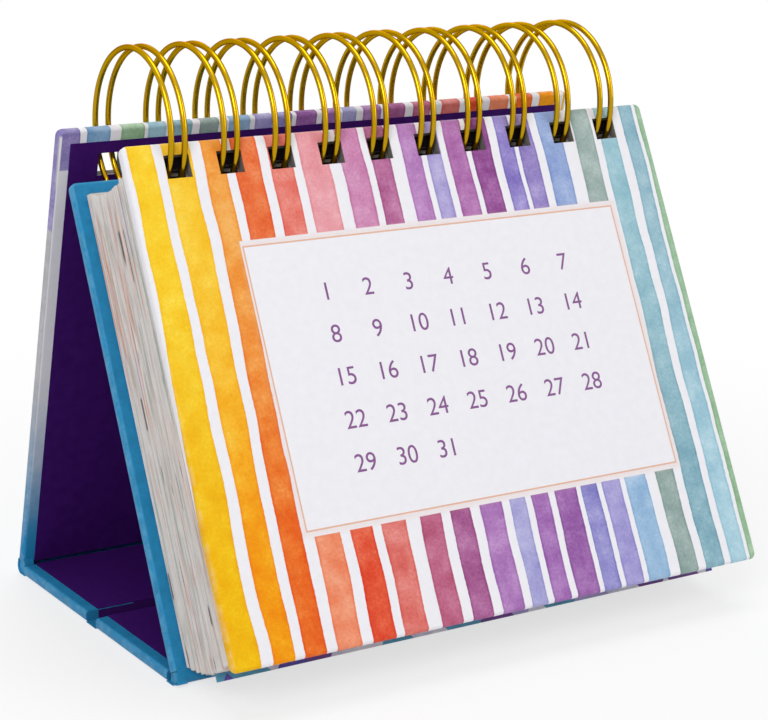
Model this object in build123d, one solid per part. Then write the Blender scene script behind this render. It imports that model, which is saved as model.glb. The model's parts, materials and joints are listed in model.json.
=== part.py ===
from build123d import *
import math
import os

# Flip day calendar on a folding easel case.  Millimetres, +Z up, front towards -Y.
# Every number below is an independent size; everything after them is worked out.

# Twin loop wire
LOOPS = 10
LOOP_PITCH = 12.7
RING_R = 18.0
WIRE_D = 1.3
PAIR_SPACING = 3.2
LINK_ANGLE = 229.0
TIP_ANGLE = 236.0

# Punched holes
HOLE_W = 6.0
WIRE_PLAY = 0.3
COVER_HOLE_MARGIN = 2.8
FRONT_HOLE_MARGIN = 2.7
BACK_HOLE_MARGIN = 5.7

# Board, wrapping paper and liner of the case
BOARD = 2.1
PAPER = 0.2
CORNER_R = 1.5
EDGE_R = 0.8
TURN_IN = 12.0
LINER_INSET = 3.0

# Case
CASE_W = 140.6
FRONT_LEAN = 26.0
BACK_LEAN = 12.7
RING_TO_BACK = 14.3
HINGE_END = 3.8
HINGE_R = 1.5
HINGE_SLIT = 0.15
HINGE_ROOM = 0.8
CREASE_GAP = 5.0

# Front cover
COVER_W = 139.0
COVER_H = 110.7
COVER_LIFT = 0.6

# Leaves
DAYS = {
    "january": 31, "february": 29, "march": 31, "april": 30,
    "may": 31, "june": 30, "july": 31, "august": 31,
    "september": 30, "october": 31, "november": 30, "december": 31,
}
COVER_OVERHANG = 2.6
LEAF_SHORTER = 6.9
CARD_LONGER = 1.8
LEAF_T = 0.058
SEAT_GAP = 0.1
SET_GAP = 0.06
LEAF_HOLE_H = 5.0
LEAF_HOLE_MARGIN = 1.9
LEAF_HANG = 0.5
LEAF_SAG = 0.75
CARD_T = 0.3
CARD_AFTER = "june"

LEAF_W = COVER_W - 2 * COVER_OVERHANG
LEAF_H = COVER_H - LEAF_SHORTER
CARD_H = LEAF_H + CARD_LONGER

# Stack of the front panel, the leaves and the cover, measured forwards from the
# front panel's outer face.
SHELL = PAPER + BOARD + PAPER
PANEL_T = SHELL + PAPER


def stack_leaves(start):
    """Depths at which every set of leaves begins and ends, from the panel outwards."""
    depth = start
    spans = {}
    for month in reversed(list(DAYS)):
        if month == CARD_AFTER:
            spans["card"] = (depth, depth + CARD_T)
            depth += CARD_T + SET_GAP
        spans[month] = (depth, depth + DAYS[month] * LEAF_T)
        depth = spans[month][1] + SET_GAP
    return spans, depth - SET_GAP


SPANS, BLOCK_FRONT = stack_leaves(SEAT_GAP)
COVER_BACK = BLOCK_FRONT + SEAT_GAP
COVER_FRONT = COVER_BACK + PANEL_T
COVER_TOP = COVER_LIFT + COVER_H

# Ring centre, in the middle of the stack that the loops go round.
RING_N = (COVER_FRONT - PANEL_T) / 2


def ring_drop(across):
    """How far below the ring's centre the wire passes at this distance from it."""
    return math.sqrt(RING_R ** 2 - across ** 2)


def wire_half(across):
    """Half the height that the slanting wire fills at this distance, with its play."""
    slope = across / ring_drop(across)
    return WIRE_D / 2 * math.hypot(1, slope) + WIRE_PLAY


def hole_span(near, far):
    """Drop from the ring's centre to the low and high edge of a hole in a panel."""
    low = ring_drop(near) + wire_half(near)
    high = ring_drop(far) - wire_half(far)
    return low, high


HOLE_LOW, HOLE_HIGH = hole_span(COVER_BACK - RING_N, COVER_FRONT - RING_N)
RING_V = COVER_TOP - COVER_HOLE_MARGIN + HOLE_HIGH
FRONT_TOP = RING_V - HOLE_HIGH + FRONT_HOLE_MARGIN

# Unit vectors in the side view: up a leaning panel, and out of or into it.
SIN_F = math.sin(math.radians(FRONT_LEAN))
COS_F = math.cos(math.radians(FRONT_LEAN))
SIN_B = math.sin(math.radians(BACK_LEAN))
COS_B = math.cos(math.radians(BACK_LEAN))
UP_FRONT = Vector(0, SIN_F, COS_F)
OUT_FRONT = Vector(0, -COS_F, SIN_F)
UP_BACK = Vector(0, -SIN_B, COS_B)
IN_BACK = Vector(0, -COS_B, -SIN_B)

# Corners of the case on the table, from the ring's place in the front panel's frame.
RING_FROM_FRONT = UP_FRONT * RING_V + OUT_FRONT * RING_N
RING_Z = RING_FROM_FRONT.Z
CASE_DEPTH = RING_FROM_FRONT.Y + (RING_TO_BACK + RING_Z * SIN_B) / COS_B
COVER_REACH = (UP_FRONT * COVER_LIFT + OUT_FRONT * COVER_FRONT).Y
FRONT_Y = -(CASE_DEPTH + COVER_REACH) / 2
REAR_Y = FRONT_Y + CASE_DEPTH
RING_Y = FRONT_Y + RING_FROM_FRONT.Y
FRONT_CORNER = Vector(0, FRONT_Y, 0)
REAR_CORNER = Vector(0, REAR_Y, 0)
RING_CENTRE = Vector(0, RING_Y, RING_Z)

# Back panel: holes and top edge.
RING_W = (RING_CENTRE - REAR_CORNER).dot(UP_BACK)
BACK_LOW, BACK_HIGH = hole_span(RING_TO_BACK - PANEL_T, RING_TO_BACK)
BACK_TOP = RING_W - BACK_HIGH + BACK_HOLE_MARGIN

# Hinge lines, where the inner faces of the panels meet the top of the base.
FRONT_PIVOT_Y = FRONT_Y + PANEL_T * SIN_F / COS_F + PANEL_T / COS_F
REAR_PIVOT_Y = REAR_Y - PANEL_T * SIN_B / COS_B - PANEL_T / COS_B
CREASE_Y = (FRONT_PIVOT_Y + REAR_PIVOT_Y) / 2

PARTS = {}


def slab(width, v0, v1, t0, t1):
    """A block from v0 to v1 up the panel and t0 to t1 into it, centred across."""
    block = Box(width, v1 - v0, t1 - t0)
    return Pos(0, (v0 + v1) / 2, (t0 + t1) / 2) * block


def softened(block, hinged, corner, edge):
    """Round a board's free corners and edges, and leave its hinged ends square."""
    box = block.bounding_box()
    ends = [box.min.Y if end == "low" else box.max.Y for end in hinged]

    def free(line):
        return all(abs(line.center().Y - end) > 1e-4 for end in ends)

    upright = [line for line in block.edges().filter_by(Axis.Z) if free(line)]
    if upright:
        block = fillet(upright, corner)
    faces = [block.faces().sort_by(Axis.Z)[0], block.faces().sort_by(Axis.Z)[-1]]
    rims = [line for face in faces for line in face.edges() if free(line)]
    return fillet(rims, edge)


def punches(low, high, depth):
    """One block for every loop, to punch the row of holes."""
    tool = Box(HOLE_W, high - low, depth)
    return [
        Pos((i - (LOOPS - 1) / 2) * LOOP_PITCH, (low + high) / 2, depth / 2 - 5) * tool
        for i in range(LOOPS)
    ]


def panel(width, v0, v1, hinged, hole=None):
    """Board, wrap and liner of one panel; its outer face is at depth 0."""
    low_in = 0 if "low" in hinged else 1
    high_in = 0 if "high" in hinged else 1
    outer = softened(slab(width, v0, v1, 0, SHELL), hinged, CORNER_R, EDGE_R)
    board = softened(
        slab(width - 2 * PAPER, v0 + low_in * PAPER, v1 - high_in * PAPER, PAPER, PAPER + BOARD),
        hinged, CORNER_R - PAPER, EDGE_R - PAPER,
    )
    window = slab(
        width - 2 * TURN_IN, v0 + low_in * TURN_IN, v1 - high_in * TURN_IN, PAPER + BOARD, SHELL
    )
    sheet = slab(
        width - 2 * LINER_INSET, v0 + low_in * LINER_INSET, v1 - high_in * LINER_INSET, SHELL, PANEL_T
    )
    pieces = {"board": board, "wrap": outer - board - window, "liner": sheet + window}
    if hole:
        tools = punches(hole[0], hole[1], PANEL_T + 10)
        pieces = {kind: piece - tools for kind, piece in pieces.items()}
    return pieces


def hinge_strip(corner, along_base, up_panel, base_end):
    """Wrapping paper round a bottom corner of the case, from the base up the panel."""
    inside = (along_base + up_panel).normalized()
    half = math.acos(along_base.dot(up_panel)) / 2
    inner = corner + inside * (PAPER / math.sin(half))
    reach = HINGE_END - HINGE_SLIT
    setback = PAPER / math.tan(half)
    outline = [
        corner + along_base * base_end,
        corner,
        corner + up_panel * reach,
        inner + up_panel * (reach - setback),
        inner,
        inner + along_base * (base_end - setback),
    ]
    flat = make_face(Polyline(*[(p.Y, p.Z) for p in outline], close=True))
    for point, radius in ((corner, HINGE_R + PAPER), (inner, HINGE_R)):
        at = Vector(point.Y, point.Z)
        flat = fillet([v for v in flat.vertices() if (Vector(v) - at).length < 1e-4], radius)
    side = Plane(origin=(-CASE_W / 2, 0, 0), x_dir=(0, 1, 0), z_dir=(1, 0, 0))
    return extrude(side * flat, CASE_W)


def place(name, pieces, frame):
    for kind, piece in pieces.items():
        PARTS[f"{name}_{kind}"] = frame * piece


# Back panel, outer face towards +Y.
back_frame = Plane(origin=REAR_CORNER, x_dir=(1, 0, 0), z_dir=IN_BACK)
back_hole = (RING_W - BACK_LOW, RING_W - BACK_HIGH)
place("back_panel", panel(CASE_W, HINGE_END, BACK_TOP, ["low"], back_hole), back_frame)

# Front panel and cover, outer faces towards -Y.
front_hole = (RING_V - HOLE_LOW, RING_V - HOLE_HIGH)
front_frame = Plane(origin=FRONT_CORNER, x_dir=(-1, 0, 0), z_dir=-OUT_FRONT)
place("front_panel", panel(CASE_W, HINGE_END, FRONT_TOP, ["low"], front_hole), front_frame)
cover_frame = Plane(origin=FRONT_CORNER + OUT_FRONT * COVER_FRONT, x_dir=(-1, 0, 0), z_dir=-OUT_FRONT)
place("front_cover", panel(COVER_W, COVER_LIFT, COVER_TOP, [], front_hole), cover_frame)

# Base in two halves, outer faces on the table; the wraps go on round the bottom corners.
base_frame = Plane(origin=(0, 0, 0), x_dir=(1, 0, 0), z_dir=(0, 0, 1))
rear_start = CREASE_Y + CREASE_GAP / 2
rear_end = REAR_PIVOT_Y - HINGE_ROOM
front_start = FRONT_PIVOT_Y + HINGE_ROOM
front_end = CREASE_Y - CREASE_GAP / 2
place("base_rear", panel(CASE_W, rear_start, rear_end, ["low", "high"]), base_frame)
place("base_front", panel(CASE_W, front_start, front_end, ["low", "high"]), base_frame)
rear_strip = hinge_strip(REAR_CORNER, Vector(0, -1, 0), UP_BACK, REAR_Y - rear_end)
front_strip = hinge_strip(FRONT_CORNER, Vector(0, 1, 0), UP_FRONT, front_start - FRONT_Y)
PARTS["base_rear_wrap"] = PARTS["base_rear_wrap"] + rear_strip
PARTS["base_front_wrap"] = PARTS["base_front_wrap"] + front_strip
PARTS["base_crease_strip"] = slab(CASE_W, front_end + HINGE_SLIT, rear_start - HINGE_SLIT, 0, PAPER)


def leaf_set(depth0, depth1, height):
    """Leaves that lie together, as one block hanging from the wire by its holes."""
    middle = (depth0 + depth1) / 2 - RING_N
    end_drop = ring_drop(BLOCK_FRONT - RING_N)
    hang = end_drop + LEAF_SAG * (ring_drop(middle) - end_drop) + LEAF_HANG
    hole = RING_V - hang
    top = hole + LEAF_HOLE_H / 2 + LEAF_HOLE_MARGIN
    block = slab(LEAF_W, top - height, top, -depth1, -depth0)
    low = hole - LEAF_HOLE_H / 2
    tools = [Pos(0, 0, -depth1) * tool for tool in punches(low, low + LEAF_HOLE_H, 20)]
    return front_frame * (block - tools)


for month in DAYS:
    PARTS[f"{month}_leaves"] = leaf_set(*SPANS[month], LEAF_H)
PARTS["printed_leaf"] = leaf_set(*SPANS["card"], CARD_H)


def on_ring(angle, x):
    """A point of the wire's centre line; 0 is the front of the ring and 90 its top."""
    turn = math.radians(angle)
    return Vector(x, RING_Y - RING_R * math.cos(turn), RING_Z + RING_R * math.sin(turn))


def along_ring(angle):
    """Direction of the wire where it runs from the back of the ring to its front."""
    turn = math.radians(angle)
    return Vector(0, -math.sin(turn), -math.cos(turn))


def wire_path():
    """Centre line of the whole wire, in arcs of a half turn at most and straight links."""
    bend = PAIR_SPACING / 2
    step = math.degrees(bend / RING_R)
    start = LINK_ANGLE - step
    end = TIP_ANGLE + step - 360
    middle = (start + end) / 2
    across = Vector(1, 0, 0)
    cut = math.sqrt(0.5)
    path = []

    def arc(a, b, c):
        path.append(Edge.make_three_point_arc(a, b, c))

    for i in range(LOOPS):
        x = (i - (LOOPS - 1) / 2) * LOOP_PITCH
        left = x - bend
        right = x + bend
        back = along_ring(start) * -1
        foot = on_ring(start, left) + back * bend - across * bend
        if path:
            path.append(Edge.make_line(path[-1] @ 1, foot))
        hub = on_ring(start, left) - across * bend
        arc(foot, hub + (back + across) * (bend * cut), on_ring(start, left))
        arc(on_ring(start, left), on_ring((start + middle) / 2, left), on_ring(middle, left))
        arc(on_ring(middle, left), on_ring((middle + end) / 2, left), on_ring(end, left))
        tip = on_ring(end, x) + along_ring(end) * bend
        arc(on_ring(end, left), tip, on_ring(end, right))
        arc(on_ring(end, right), on_ring((middle + end) / 2, right), on_ring(middle, right))
        arc(on_ring(middle, right), on_ring((start + middle) / 2, right), on_ring(start, right))
        hub = on_ring(start, right) + across * bend
        arc(
            on_ring(start, right),
            hub + (back - across) * (bend * cut),
            on_ring(start, right) + (back + across) * bend,
        )
    return path


def least_gap(path):
    """Least distance between parts of the wire that aren't next to each other along it."""
    points = []
    run = 0.0
    for edge in path:
        count = max(2, int(edge.length / 0.5))
        for k in range(count):
            points.append((run + edge.length * k / count, edge @ (k / count)))
        run += edge.length
    apart = 2.5 * PAIR_SPACING
    least = RING_R
    for i, (run_a, a) in enumerate(points):
        for run_b, b in points[i + 1:]:
            if run_b - run_a > apart and abs(a.X - b.X) < LOOP_PITCH:
                least = min(least, (a - b).length)
    return least - WIRE_D


edges = wire_path()
spine = Wire(edges)
section = Plane(origin=spine @ 0, z_dir=spine % 0) * Circle(WIRE_D / 2)
wire = sweep(section, path=spine)
PARTS["twin_loop_wire"] = wire
print("wire gap to itself", round(least_gap(edges), 3))
print("wire volume", round(wire.volume, 2), "of", round(math.pi * WIRE_D ** 2 / 4 * spine.length, 2))

# The origin goes under the middle of the whole object.
boxes = [shape.bounding_box() for shape in PARTS.values()]
middle = (min(box.min.Y for box in boxes) + max(box.max.Y for box in boxes)) / 2
PARTS = {name: Pos(0, -middle, 0) * shape for name, shape in PARTS.items()}
print("ring centre", round(RING_Y - middle, 4), round(RING_Z, 4))
print("rear hinge", round(REAR_PIVOT_Y - middle, 4), "front hinge", round(FRONT_PIVOT_Y - middle, 4))
print("hinge height", round(PANEL_T, 4), "crease", round(CREASE_Y - middle, 4))
print("front corner", round(FRONT_Y - middle, 4), "rear corner", round(REAR_Y - middle, 4))

os.makedirs("parts", exist_ok=True)
for name, shape in PARTS.items():
    shape.label = name
    export_step(shape, f"parts/{name}.step")
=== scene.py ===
"""Looks of a flip day calendar on a folding easel case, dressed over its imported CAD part."""

import json
import math
import random

import bmesh
import bpy
from mathutils import Matrix, Vector


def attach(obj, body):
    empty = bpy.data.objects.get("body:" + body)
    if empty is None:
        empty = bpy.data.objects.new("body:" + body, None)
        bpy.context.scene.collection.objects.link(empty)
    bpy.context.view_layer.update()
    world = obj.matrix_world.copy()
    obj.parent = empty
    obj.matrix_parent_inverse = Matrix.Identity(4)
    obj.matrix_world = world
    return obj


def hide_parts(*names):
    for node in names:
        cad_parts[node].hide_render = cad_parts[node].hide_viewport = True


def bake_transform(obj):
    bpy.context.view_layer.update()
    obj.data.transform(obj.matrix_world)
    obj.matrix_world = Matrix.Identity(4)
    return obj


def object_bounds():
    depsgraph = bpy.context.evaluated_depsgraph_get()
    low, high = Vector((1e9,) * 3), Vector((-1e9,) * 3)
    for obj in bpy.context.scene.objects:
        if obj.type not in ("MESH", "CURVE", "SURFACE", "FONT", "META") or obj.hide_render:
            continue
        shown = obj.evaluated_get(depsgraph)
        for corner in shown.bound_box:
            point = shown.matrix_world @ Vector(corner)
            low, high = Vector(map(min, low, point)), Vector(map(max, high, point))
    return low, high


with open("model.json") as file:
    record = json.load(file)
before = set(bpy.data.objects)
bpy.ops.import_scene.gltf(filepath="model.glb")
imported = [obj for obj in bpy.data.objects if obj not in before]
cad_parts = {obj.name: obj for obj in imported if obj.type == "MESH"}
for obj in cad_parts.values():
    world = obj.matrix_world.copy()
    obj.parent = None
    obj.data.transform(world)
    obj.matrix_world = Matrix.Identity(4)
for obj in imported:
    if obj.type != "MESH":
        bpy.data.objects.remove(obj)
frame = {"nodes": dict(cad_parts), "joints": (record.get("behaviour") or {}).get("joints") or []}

bl_info = {
    "name": "Flip Day Calendar",
    "version": (1, 0, 0),
    "blender": (4, 5, 0),
    "location": "View3D > Sidebar > Calendar",
    "description": "Dresses a flip day calendar in painted paper, leaves and gold wire",
    "category": "Object",
}

MM = 0.001
CAD_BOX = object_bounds()
CASE_HALF = CAD_BOX[1].x / MM
LOOPS = 10
LOOP_PITCH = 12.7 * MM
JOINTS = {joint["name"]: joint for joint in frame["joints"]}
MONTHS = [name[: -len("_leaves")] for name in frame["nodes"] if name.endswith("_leaves")]

# Panels of the case in the side view, from the hinges that the frame gives.
FRONT_LEAN = math.radians(26.0)
BACK_LEAN = math.radians(12.7)
RING = Vector(JOINTS["cover_flip"]["pos_m"])
REAR_HINGE = Vector(JOINTS["easel_fold"]["pos_m"])
FRONT_HINGE = Vector(JOINTS["base_front_fold"]["pos_m"])
PANEL_T = FRONT_HINGE.z
ALONG_X, ALONG_Y, UPRIGHT = Vector((1, 0, 0)), Vector((0, 1, 0)), Vector((0, 0, 1))
UP_FRONT = Vector((0, math.sin(FRONT_LEAN), math.cos(FRONT_LEAN)))
OUT_FRONT = Vector((0, -math.cos(FRONT_LEAN), math.sin(FRONT_LEAN)))
UP_BACK = Vector((0, -math.sin(BACK_LEAN), math.cos(BACK_LEAN)))
OUT_BACK = Vector((0, math.cos(BACK_LEAN), math.sin(BACK_LEAN)))
FRONT_CORNER = Vector(
    (0, FRONT_HINGE.y - PANEL_T * (math.tan(FRONT_LEAN) + 1 / math.cos(FRONT_LEAN)), 0)
)
REAR_CORNER = Vector(
    (0, REAR_HINGE.y + PANEL_T * (math.tan(BACK_LEAN) + 1 / math.cos(BACK_LEAN)), 0)
)

# Painted stripes of the wrapping sheet, in millimetres from its left edge: left and right near the
# bottom, left and right near the top, colour near the bottom, colour near the top. The first goes
# round the edge near the bottom.
STRIPES = [
    (-2.2, 6.4, 1.3, 7.1, (238, 182, 6), (246, 206, 50)),
    (9.1, 14.4, 9.3, 16.0, (240, 152, 8), (245, 200, 56)),
    (16.8, 22.1, 18.5, 23.4, (230, 106, 34), (238, 160, 72)),
    (24.7, 31.1, 25.5, 31.9, (235, 142, 106), (230, 116, 66)),
    (33.7, 39.3, 34.3, 40.3, (222, 84, 54), (228, 126, 114)),
    (41.4, 47.3, 42.4, 49.2, (218, 116, 108), (229, 158, 166)),
    (50.8, 56.5, 52.2, 58.4, (190, 108, 138), (202, 136, 176)),
    (59.0, 64.3, 60.1, 65.2, (166, 96, 146), (182, 110, 154)),
    (66.6, 72.3, 68.7, 73.7, (172, 122, 184), (184, 134, 190)),
    (74.1, 78.7, 75.2, 79.2, (170, 168, 214), (170, 160, 210)),
    (80.3, 85.0, 80.8, 85.9, (164, 114, 180), (176, 116, 174)),
    (86.7, 93.0, 87.3, 93.0, (156, 104, 170), (150, 86, 150)),
    (94.0, 99.0, 95.2, 99.6, (142, 138, 200), (146, 132, 198)),
    (100.4, 105.6, 100.7, 105.3, (162, 156, 210), (150, 134, 194)),
    (106.9, 113.0, 107.4, 113.4, (156, 188, 218), (148, 168, 212)),
    (115.9, 121.3, 116.9, 122.4, (150, 170, 166), (158, 176, 172)),
    (123.4, 129.0, 124.3, 129.3, (136, 176, 190), (160, 198, 209)),
    (130.9, 135.8, 131.9, 135.9, (164, 202, 217), (150, 186, 200)),
    (136.7, 143.4, 136.9, 143.4, (150, 186, 150), (158, 192, 160)),
    (146.4, 152.7, 146.4, 152.7, (130, 168, 204), (140, 172, 208)),
    (154.6, 164.1, 154.6, 164.1, (140, 128, 184), (146, 134, 190)),
]
SHEET_WIDTH = 170.0
SHEET_LEAD = 4.0
STRIPE_LOW, STRIPE_HIGH = 12.0, 95.0


def linear(colour):
    """A colour given in screen values from 0 to 255, as the linear colour that shaders use."""
    return tuple(
        c / 255 / 12.92 if c < 10.3 else ((c / 255 + 0.055) / 1.055) ** 2.4 for c in colour
    )


def shade(colour, share):
    """A colour made darker or lighter by one factor."""
    return tuple(c * share for c in colour)


class Graph:
    """Adds nodes to one shader tree and joins them."""

    def __init__(self, tree):
        self.tree = tree

    def add(self, kind, **settings):
        node = self.tree.nodes.new(kind)
        for name, value in settings.items():
            setattr(node, name, value)
        return node

    def feed(self, socket, value):
        if isinstance(value, bpy.types.NodeSocket):
            self.tree.links.new(value, socket)
        elif socket.type == "RGBA" and len(value) == 3:
            socket.default_value = (*value, 1)
        else:
            socket.default_value = value

    def math(self, operation, *values):
        node = self.add("ShaderNodeMath", operation=operation)
        for socket, value in zip(node.inputs, values):
            self.feed(socket, value)
        return node.outputs[0]

    def plus(self, a, b):
        return self.math("ADD", a, b)

    def less(self, a, b):
        return self.math("SUBTRACT", a, b)

    def times(self, a, b):
        return self.math("MULTIPLY", a, b)

    def most(self, a, b):
        return self.math("MAXIMUM", a, b)

    def size(self, a):
        return self.math("ABSOLUTE", a)

    def dot(self, a, b):
        node = self.add("ShaderNodeVectorMath", operation="DOT_PRODUCT")
        self.feed(node.inputs[0], a)
        self.feed(node.inputs[1], b)
        return node.outputs["Value"]

    def combine(self, x=0.0, y=0.0, z=0.0):
        node = self.add("ShaderNodeCombineXYZ")
        for socket, value in zip(node.inputs, (x, y, z)):
            self.feed(socket, value)
        return node.outputs[0]

    def fade(self, value, low, high, start=0.0, end=1.0):
        node = self.add("ShaderNodeMapRange", interpolation_type="SMOOTHSTEP")
        for name, given in zip(
            ("Value", "From Min", "From Max", "To Min", "To Max"), (value, low, high, start, end)
        ):
            self.feed(node.inputs[name], given)
        return node.outputs["Result"]

    def mix(self, share, a, b, blend="MIX"):
        node = self.add("ShaderNodeMix", data_type="RGBA", blend_type=blend)
        self.feed(node.inputs["Factor"], share)
        self.feed(node.inputs["A"], a)
        self.feed(node.inputs["B"], b)
        return node.outputs["Result"]

    def noise(self, vector, scale, detail=2.0, roughness=0.5):
        node = self.add("ShaderNodeTexNoise")
        self.feed(node.inputs["Vector"], vector)
        self.feed(node.inputs["Scale"], scale)
        self.feed(node.inputs["Detail"], detail)
        self.feed(node.inputs["Roughness"], roughness)
        return node.outputs["Fac"]

    def ramp(self, value, stops, interpolation="LINEAR"):
        node = self.add("ShaderNodeValToRGB")
        node.color_ramp.interpolation = interpolation
        elements = node.color_ramp.elements
        while len(elements) < len(stops):
            elements.new(1.0)
        for element, (place, colour) in zip(elements, stops):
            element.position = place
            element.color = (*colour, 1)[:4]
        self.feed(node.inputs["Fac"], value)
        return node.outputs["Color"]

    def between(self, share, a, b):
        node = self.add("ShaderNodeMix", data_type="FLOAT")
        self.feed(node.inputs["Factor"], share)
        self.feed(node.inputs["A"], a)
        self.feed(node.inputs["B"], b)
        return node.outputs["Result"]

    def parts(self, colour):
        node = self.add("ShaderNodeSeparateColor")
        self.feed(node.inputs[0], colour)
        return node.outputs

    def group(self, name, **values):
        node = self.add("ShaderNodeGroup", node_tree=bpy.data.node_groups[name])
        for label, value in values.items():
            self.feed(node.inputs[label.replace("_", " ")], value)
        return node.outputs


def new_group(name, inputs, outputs):
    """Starts a shader node group with its sockets, and gives its graph and its two ends."""
    tree = bpy.data.node_groups.new(name, "ShaderNodeTree")
    for direction, sockets in (("INPUT", inputs), ("OUTPUT", outputs)):
        for label, kind in sockets.items():
            tree.interface.new_socket(label, in_out=direction, socket_type=f"NodeSocket{kind}")
    graph = Graph(tree)
    return graph, graph.add("NodeGroupInput").outputs, graph.add("NodeGroupOutput").inputs


def sheet_place_group():
    """Millimetres across and up a leaning sheet, from the object's own coordinates."""
    graph, given, made = new_group(
        "Sheet place",
        {"Corner": "Vector", "Across axis": "Vector", "Up axis": "Vector"},
        {"Across": "Float", "Up": "Float", "Point": "Vector"},
    )
    place = graph.add("ShaderNodeTexCoord").outputs["Object"]
    scaled = graph.add("ShaderNodeVectorMath", operation="SCALE")
    graph.feed(scaled.inputs[0], place)
    graph.feed(scaled.inputs["Scale"], 1 / MM)
    point = scaled.outputs[0]
    offset = graph.add("ShaderNodeVectorMath", operation="SUBTRACT")
    graph.feed(offset.inputs[0], point)
    graph.feed(offset.inputs[1], given["Corner"])
    graph.feed(made["Across"], graph.dot(offset.outputs[0], given["Across axis"]))
    graph.feed(made["Up"], graph.dot(offset.outputs[0], given["Up axis"]))
    graph.feed(made["Point"], point)


def paper_grain_group():
    """Fibres and calendered grain of paper: a bump height and a slight change of tone."""
    graph, given, made = new_group(
        "Paper grain",
        {"Point": "Vector", "Fibre size": "Float"},
        {"Height": "Float", "Tone": "Float"},
    )
    size = graph.math("DIVIDE", 1.0, given["Fibre size"])
    fine = graph.noise(given["Point"], size, 3.0, 0.6)
    broad = graph.noise(given["Point"], graph.times(size, 0.18), 2.0)
    height = graph.plus(graph.times(fine, 0.7), graph.times(broad, 0.3))
    graph.feed(made["Height"], height)
    tone = graph.plus(graph.times(fine, 0.4), graph.times(broad, 0.6))
    graph.feed(made["Tone"], tone)


def rubbed_edge_group():
    """Worn edges that also carry a painted highlight: 1 along a board's sides and top, broken up by
    noise.
    """
    graph, given, made = new_group(
        "Worn and lit edge", {"Point": "Vector", "Beside": "Float", "Below": "Float"}, {"Wear and highlight": "Float"}
    )
    near = graph.math("MINIMUM", given["Beside"], given["Below"])
    patch = graph.fade(graph.noise(given["Point"], 0.35, 4.0, 0.65), 0.4, 0.66)
    graph.feed(made["Wear and highlight"], graph.times(graph.fade(near, 0.1, 0.8, 1.0, 0.0), patch))


def painted_stripes_group():
    """Brushed stripes of watercolour, darker where the paint pooled along their rims."""
    graph, given, made = new_group(
        "Painted stripes",
        {"Across": "Float", "Up": "Float", "Wash": "Float", "Ground": "Color"},
        {"Color": "Color"},
    )

    def share(place):
        return (place + SHEET_LEAD) / SHEET_WIDTH

    starts = [0.0]
    for this, following in zip(STRIPES, STRIPES[1:]):
        starts.append(share((this[1] + this[3] + following[0] + following[2]) / 4))
    place = graph.math("DIVIDE", graph.plus(given["Across"], SHEET_LEAD), SHEET_WIDTH)
    level = graph.fade(given["Up"], STRIPE_LOW, STRIPE_HIGH)

    def by_stripe(values):
        return graph.ramp(place, list(zip(starts, values)), "CONSTANT")

    low = graph.parts(by_stripe([(share(s[0]), share(s[1]), 0) for s in STRIPES]))
    high = graph.parts(by_stripe([(share(s[2]), share(s[3]), 0) for s in STRIPES]))
    left = graph.between(level, low[0], high[0])
    right = graph.between(level, low[1], high[1])
    nearest = graph.math("MINIMUM", graph.less(place, left), graph.less(right, place))
    inside = graph.times(nearest, SHEET_WIDTH)
    rim = graph.fade(inside, 0.0, 0.8, 0.25, 0.0)
    paint_colour = graph.mix(
        level,
        by_stripe([linear(s[4]) for s in STRIPES]),
        by_stripe([linear(s[5]) for s in STRIPES]),
    )
    pooled = graph.add("ShaderNodeGamma")
    graph.feed(pooled.inputs["Color"], paint_colour)
    graph.feed(pooled.inputs["Gamma"], graph.plus(graph.plus(1.0, given["Wash"]), rim))
    cover = graph.fade(inside, -0.1, 0.1)
    graph.feed(made["Color"], graph.mix(cover, given["Ground"], pooled.outputs[0]))


def new_material(name, roughness, **sockets):
    """A material with its shader, whose plain values are set on the shader itself."""
    material = bpy.data.materials.new(name)
    material.use_nodes = True
    graph = Graph(material.node_tree)
    shader = material.node_tree.nodes["Principled BSDF"]
    shader.inputs["Roughness"].default_value = roughness
    for label, value in sockets.items():
        graph.feed(shader.inputs[label.replace("_", " ")], value)
    return material, graph, shader


def add_bump(graph, shader, height, distance, strength=1.0):
    bump = graph.add("ShaderNodeBump")
    bump.inputs["Strength"].default_value = strength
    bump.inputs["Distance"].default_value = distance
    graph.feed(bump.inputs["Height"], height)
    graph.feed(shader.inputs["Normal"], bump.outputs[0])


def reach(node, start, axis):
    """Least and greatest distance of a CAD node's points from a start, along an axis."""
    spots = [(v.co - start).dot(axis) for v in frame["nodes"][node].data.vertices]
    return min(spots), max(spots)


def solid_mesh(name, points, faces):
    """A mesh whose faces all look outwards."""
    mesh = bpy.data.meshes.new(name)
    mesh.from_pydata([tuple(p) for p in points], [], faces)
    shape = bmesh.new()
    shape.from_mesh(mesh)
    bmesh.ops.recalc_face_normals(shape, faces=shape.faces)
    shape.to_mesh(mesh)
    shape.free()
    return mesh


def mesh_of_curve(curve):
    """The mesh of a curve or text, which is itself removed."""
    holder = bpy.data.objects.new(curve.name, curve)
    bpy.context.scene.collection.objects.link(holder)
    depsgraph = bpy.context.evaluated_depsgraph_get()
    mesh = bpy.data.meshes.new_from_object(holder.evaluated_get(depsgraph))
    bpy.data.objects.remove(holder)
    bpy.data.curves.remove(curve)
    return mesh


def add_prism(points, faces, ring, shift):
    """Adds a closed prism: a ring of points, the same ring shifted, and the sides between them."""
    start, count = len(points), len(ring)
    points += [*ring, *(spot + shift for spot in ring)]
    faces += [list(range(start, start + count)), list(range(start + count, start + 2 * count))]
    for k in range(count):
        following = (k + 1) % count
        faces.append((start + k, start + following, start + count + following, start + count + k))


def loop_middles():
    """Where the middle of each loop lies along the wire."""
    return [(i - (LOOPS - 1) / 2) * LOOP_PITCH for i in range(LOOPS)]


def paint(material, *nodes):
    """Gives CAD nodes one material."""
    for name in nodes:
        mesh = frame["nodes"][name].data
        mesh.materials.clear()
        mesh.materials.append(material)


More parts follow.
